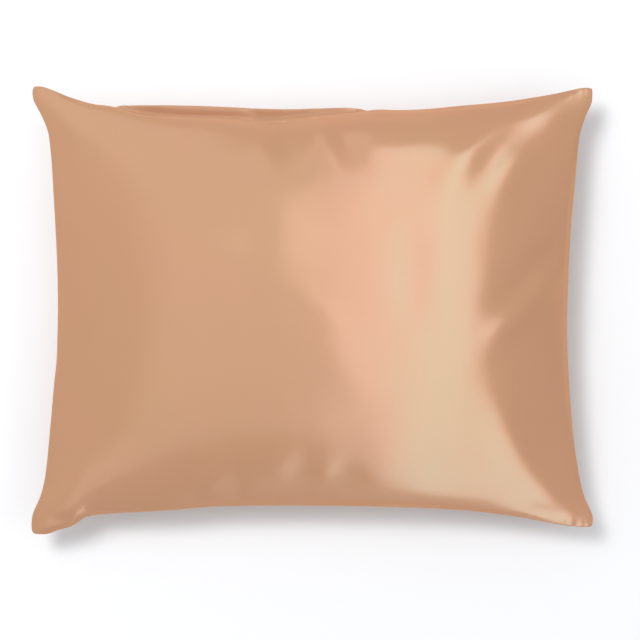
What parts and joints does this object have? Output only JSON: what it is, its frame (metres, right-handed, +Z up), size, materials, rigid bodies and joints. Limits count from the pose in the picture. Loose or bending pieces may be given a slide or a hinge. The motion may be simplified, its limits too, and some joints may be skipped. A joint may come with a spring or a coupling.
{
  "type": "filled satin pillowcase",
  "caption": "Plump satin pillowcase on its filled pillow, lying on its back: crowned front, sides drawn in between four soft corner ears, seam rolled to the front along one side.",
  "frame": {"origin": "on the floor, under the middle of the pillow's box", "axes": "+X along the long side to the right as the front is looked at, +Y along the short side towards the rolled seam, +Z up out of the front panel"},
  "size_m": [0.6448, 0.5148, 0.1526],
  "materials": {
    "satin": "rose-gold polyester satin, smooth and softly glossy"
  },
  "bodies": {
    "root": {"pillowcase": "satin"}
  },
  "joints": []
}
